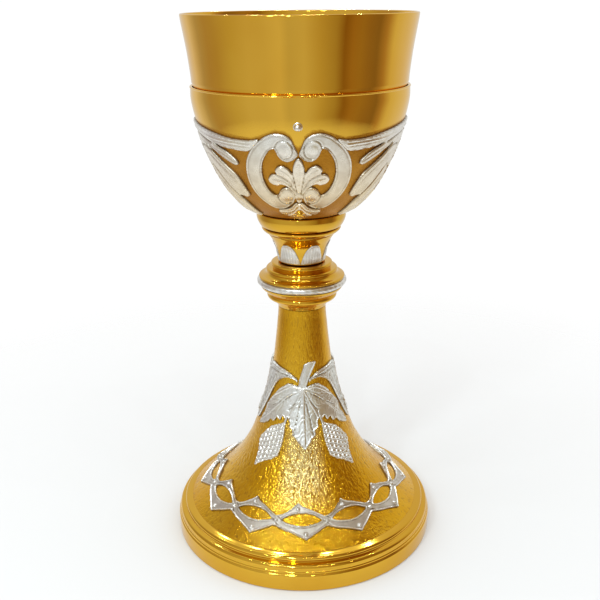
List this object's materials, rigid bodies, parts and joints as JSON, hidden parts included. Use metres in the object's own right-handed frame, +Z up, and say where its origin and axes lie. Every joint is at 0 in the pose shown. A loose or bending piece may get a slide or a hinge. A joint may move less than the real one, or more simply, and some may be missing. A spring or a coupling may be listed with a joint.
{
  "type": "communion chalice",
  "caption": "Footed ceremonial drinking cup with a calyx, a ringed knop and a flared hollow foot, dressed with leafy silver relief.",
  "frame": {"origin": "centre of the foot's rim, on the surface that the chalice stands on", "axes": "+Z up along the axis of the chalice, -Y towards the front, where one of the two vine leaves is"},
  "size_m": [0.1236, 0.1236, 0.24],
  "materials": {
    "gold_polished": "mirror-polished gold plate",
    "gold_satin": "satin gold plate, chased with short strokes towards the foot",
    "silver_satin": "satin silver plate over cast brass",
    "steel_plain": "plain turned steel"
  },
  "bodies": {
    "root": {"cup": "gold_polished", "cup_boss": "gold_polished", "calyx": "gold_polished", "cup_collar": "gold_polished", "capital": "gold_polished", "knop_upper": "gold_polished", "knop_lower": "gold_polished", "stem_ring": "gold_polished", "foot_rim": "gold_polished", "stem": "gold_satin", "knop_band": "silver_satin", "thorn_braid": "silver_satin", "acanthus_left": "silver_satin", "acanthus_right": "silver_satin", "scroll_front_left": "silver_satin", "scroll_front_right": "silver_satin", "palmette_front": "silver_satin", "drop_front": "silver_satin", "pearl_front": "silver_satin", "vine_leaf_front": "silver_satin", "grapes_front_left": "silver_satin", "grapes_front_right": "silver_satin", "vine_shoot_front_left": "silver_satin", "vine_shoot_front_right": "silver_satin", "scroll_back_left": "silver_satin", "scroll_back_right": "silver_satin", "palmette_back": "silver_satin", "drop_back": "silver_satin", "pearl_back": "silver_satin", "vine_leaf_back": "silver_satin", "grapes_back_left": "silver_satin", "grapes_back_right": "silver_satin", "vine_shoot_back_left": "silver_satin", "vine_shoot_back_right": "silver_satin", "petal_1": "silver_satin", "petal_2": "silver_satin", "petal_3": "silver_satin", "petal_4": "silver_satin", "petal_5": "silver_satin", "petal_6": "silver_satin", "tie_rod": "steel_plain", "washer": "steel_plain", "clamp_nut": "steel_plain", "lock_nut": "steel_plain"}
  },
  "joints": []
}
